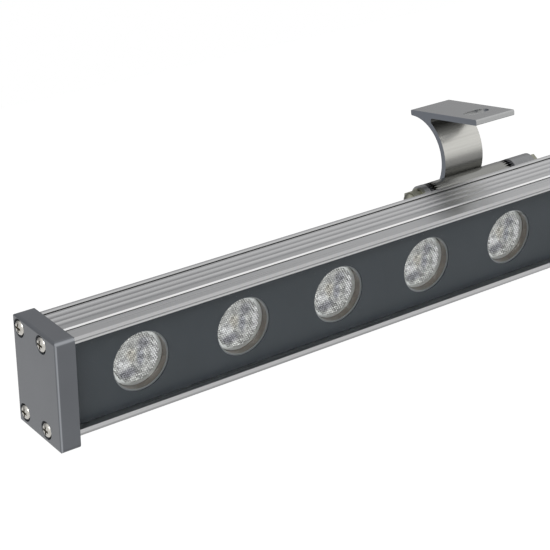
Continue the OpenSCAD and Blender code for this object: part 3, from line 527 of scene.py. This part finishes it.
# Zinc plated steel, passivated: grey with an olive cast that varies a little
zinc, tree = new_finish("zinc_plated_steel_passivated")
place = add(tree, "ShaderNodeTexCoord").outputs["Object"]
tint = add(tree, "ShaderNodeTexNoise", {"Vector": place, "Scale": 1 / tint_width, "Detail": 3})
tone = add(tree, "ShaderNodeMix", {
    "Factor": tint, "A": linear("#77776c"), "B": linear("#9f9f93")}, data_type="RGBA")
passivated = add(tree, "ShaderNodeBsdfPrincipled", {
    "Base Color": tone, "Metallic": 1, "Roughness": 0.3})
add(tree, "ShaderNodeOutputMaterial", {"Surface": passivated})
apply_finish(zinc, "pivot_bolt_left", "pivot_bolt_right", "pivot_washers_left",
             "pivot_washers_right", "pivot_nut_left", "pivot_nut_right")


# Studio: a white paper floor well below the lamp, an even pale surround and one large soft lamp.
# Metal mirrors the white paper round the lamp, a painted shade on the paper below it, and a grey
# screen behind it.
floor_half = 6
floor_drop = 1.2
# Distances from the spot under the lamp's middle, between which the painted shade that metal sees
# on the paper gives way to its glow
shade_reach, paper_from = 0.5, 1.1
paper_mirrored = 0.65
paper_glow = 0.6
screen_from, screen_full = 0.2, 0.95  # how far a direction points rearwards
key_wide, key_high, key_power = 1.2, 0.8, 15
key_from = Vector((-1.3, -1.1, 0.9))
key_to = Vector((0, 0, -0.04))

floor_mesh = bpy.data.meshes.new("studio_floor")
paper = bmesh.new()
bmesh.ops.create_grid(paper, x_segments=1, y_segments=1, size=floor_half,
                      matrix=Matrix.Translation((0, 0, -floor_drop)))
paper.to_mesh(floor_mesh)
paper.free()
floor = bpy.data.objects.new("studio_floor", floor_mesh)
bpy.context.scene.collection.objects.link(floor)

# White paper: plain and matt, with a glow towards the camera that keeps it white, and towards the
# metal everywhere but a painted shade under the lamp
white_paper, tree = new_finish("white_paper")
ray = add(tree, "ShaderNodeLightPath")
spot = add(tree, "ShaderNodeSeparateXYZ", {
    "Vector": add(tree, "ShaderNodeTexCoord").outputs["Object"]})
level_spot = add(tree, "ShaderNodeCombineXYZ", {
    "X": spot.outputs["X"], "Y": spot.outputs["Y"]})
off_centre = add(tree, "ShaderNodeVectorMath", {0: level_spot}, operation="LENGTH")
# painted shade under the lamp, seen only by metal
glow_past_painted_shade = add(tree, "ShaderNodeMapRange", {
    "Value": off_centre.outputs["Value"],
    "From Min": shade_reach, "From Max": paper_from, "To Max": paper_mirrored},
    interpolation_type="SMOOTHSTEP")
mirrored = add(tree, "ShaderNodeMath", {
    0: ray.outputs["Is Glossy Ray"], 1: glow_past_painted_shade}, operation="MULTIPLY")
direct = add(tree, "ShaderNodeMath", {
    0: ray.outputs["Is Camera Ray"], 1: ray.outputs["Is Transmission Ray"]}, operation="MAXIMUM")
seen = add(tree, "ShaderNodeMath", {0: direct, 1: mirrored}, operation="MAXIMUM")
fill = add(tree, "ShaderNodeMath", {0: seen, 1: paper_glow}, operation="MULTIPLY")
matt_paper = add(tree, "ShaderNodeBsdfDiffuse", {"Color": linear("#e6e6e6")})
glow = add(tree, "ShaderNodeEmission", {"Color": linear("#ffffff"), "Strength": fill})
page = add(tree, "ShaderNodeAddShader", {0: matt_paper, 1: glow})
add(tree, "ShaderNodeOutputMaterial", {"Surface": page})
floor_mesh.materials.append(white_paper)

world = bpy.data.worlds.new("studio")
world.use_nodes = True
bpy.context.scene.world = world
tree = world.node_tree
tree.nodes.clear()
ray = add(tree, "ShaderNodeLightPath")
mirrored = add(tree, "ShaderNodeMath", {
    0: ray.outputs["Is Glossy Ray"], 1: ray.outputs["Is Transmission Ray"]}, operation="MAXIMUM")
seen = add(tree, "ShaderNodeMath", {
    0: ray.outputs["Is Camera Ray"], 1: mirrored}, operation="MAXIMUM")
ways = add(tree, "ShaderNodeSeparateXYZ", {
    "Vector": add(tree, "ShaderNodeTexCoord").outputs["Generated"]})
rearward = add(tree, "ShaderNodeMapRange", {
    "Value": ways.outputs["Y"], "From Min": screen_from, "From Max": screen_full},
    interpolation_type="SMOOTHSTEP")
screen = add(tree, "ShaderNodeMix", {
    "Factor": rearward, "A": linear("#ffffff"), "B": linear("#959597")}, data_type="RGBA")
shown = add(tree, "ShaderNodeMix", {
    "Factor": ray.outputs["Is Camera Ray"], "A": screen, "B": linear("#ffffff")},
    data_type="RGBA")
surround = add(tree, "ShaderNodeBackground", {"Color": shown, "Strength": 1})
light = add(tree, "ShaderNodeBackground", {"Color": linear("#ffffff"), "Strength": 0.55})
room = add(tree, "ShaderNodeMixShader", {0: seen, 1: light, 2: surround})
add(tree, "ShaderNodeOutputWorld", {"Surface": room})

key = bpy.data.lights.new("key", "AREA")
key.shape, key.size, key.size_y, key.energy = "RECTANGLE", key_wide, key_high, key_power
key_lamp = bpy.data.objects.new("key", key)
bpy.context.scene.collection.objects.link(key_lamp)
key_turn = (key_to - key_from).to_track_quat("-Z", "Y").to_matrix().to_4x4()
key_lamp.matrix_world = Matrix.Translation(key_from) @ key_turn


# Camera: in front of the lamp's left end and a little above it, as the photograph was taken.
# Its place and turns were fitted to the photograph in the lamp's own axes.
camera_place = (-0.7142, -0.40543, 0.26269)
look_down, look_right = 25.95, 36.34  # degrees
camera = bpy.data.cameras.new("camera")
camera.lens, camera.sensor_width = 109.894, 36
camera.clip_start, camera.clip_end = 0.01, 50
viewer = bpy.data.objects.new("camera", camera)
bpy.context.scene.collection.objects.link(viewer)
camera_turn = Euler((math.radians(90 - look_down), 0, math.radians(-look_right)))
viewer.matrix_world = (lamp_frame @ Matrix.Translation(camera_place)
                       @ camera_turn.to_matrix().to_4x4())
bpy.context.scene.camera = viewer
bpy.context.scene.view_settings.view_transform = "Standard"
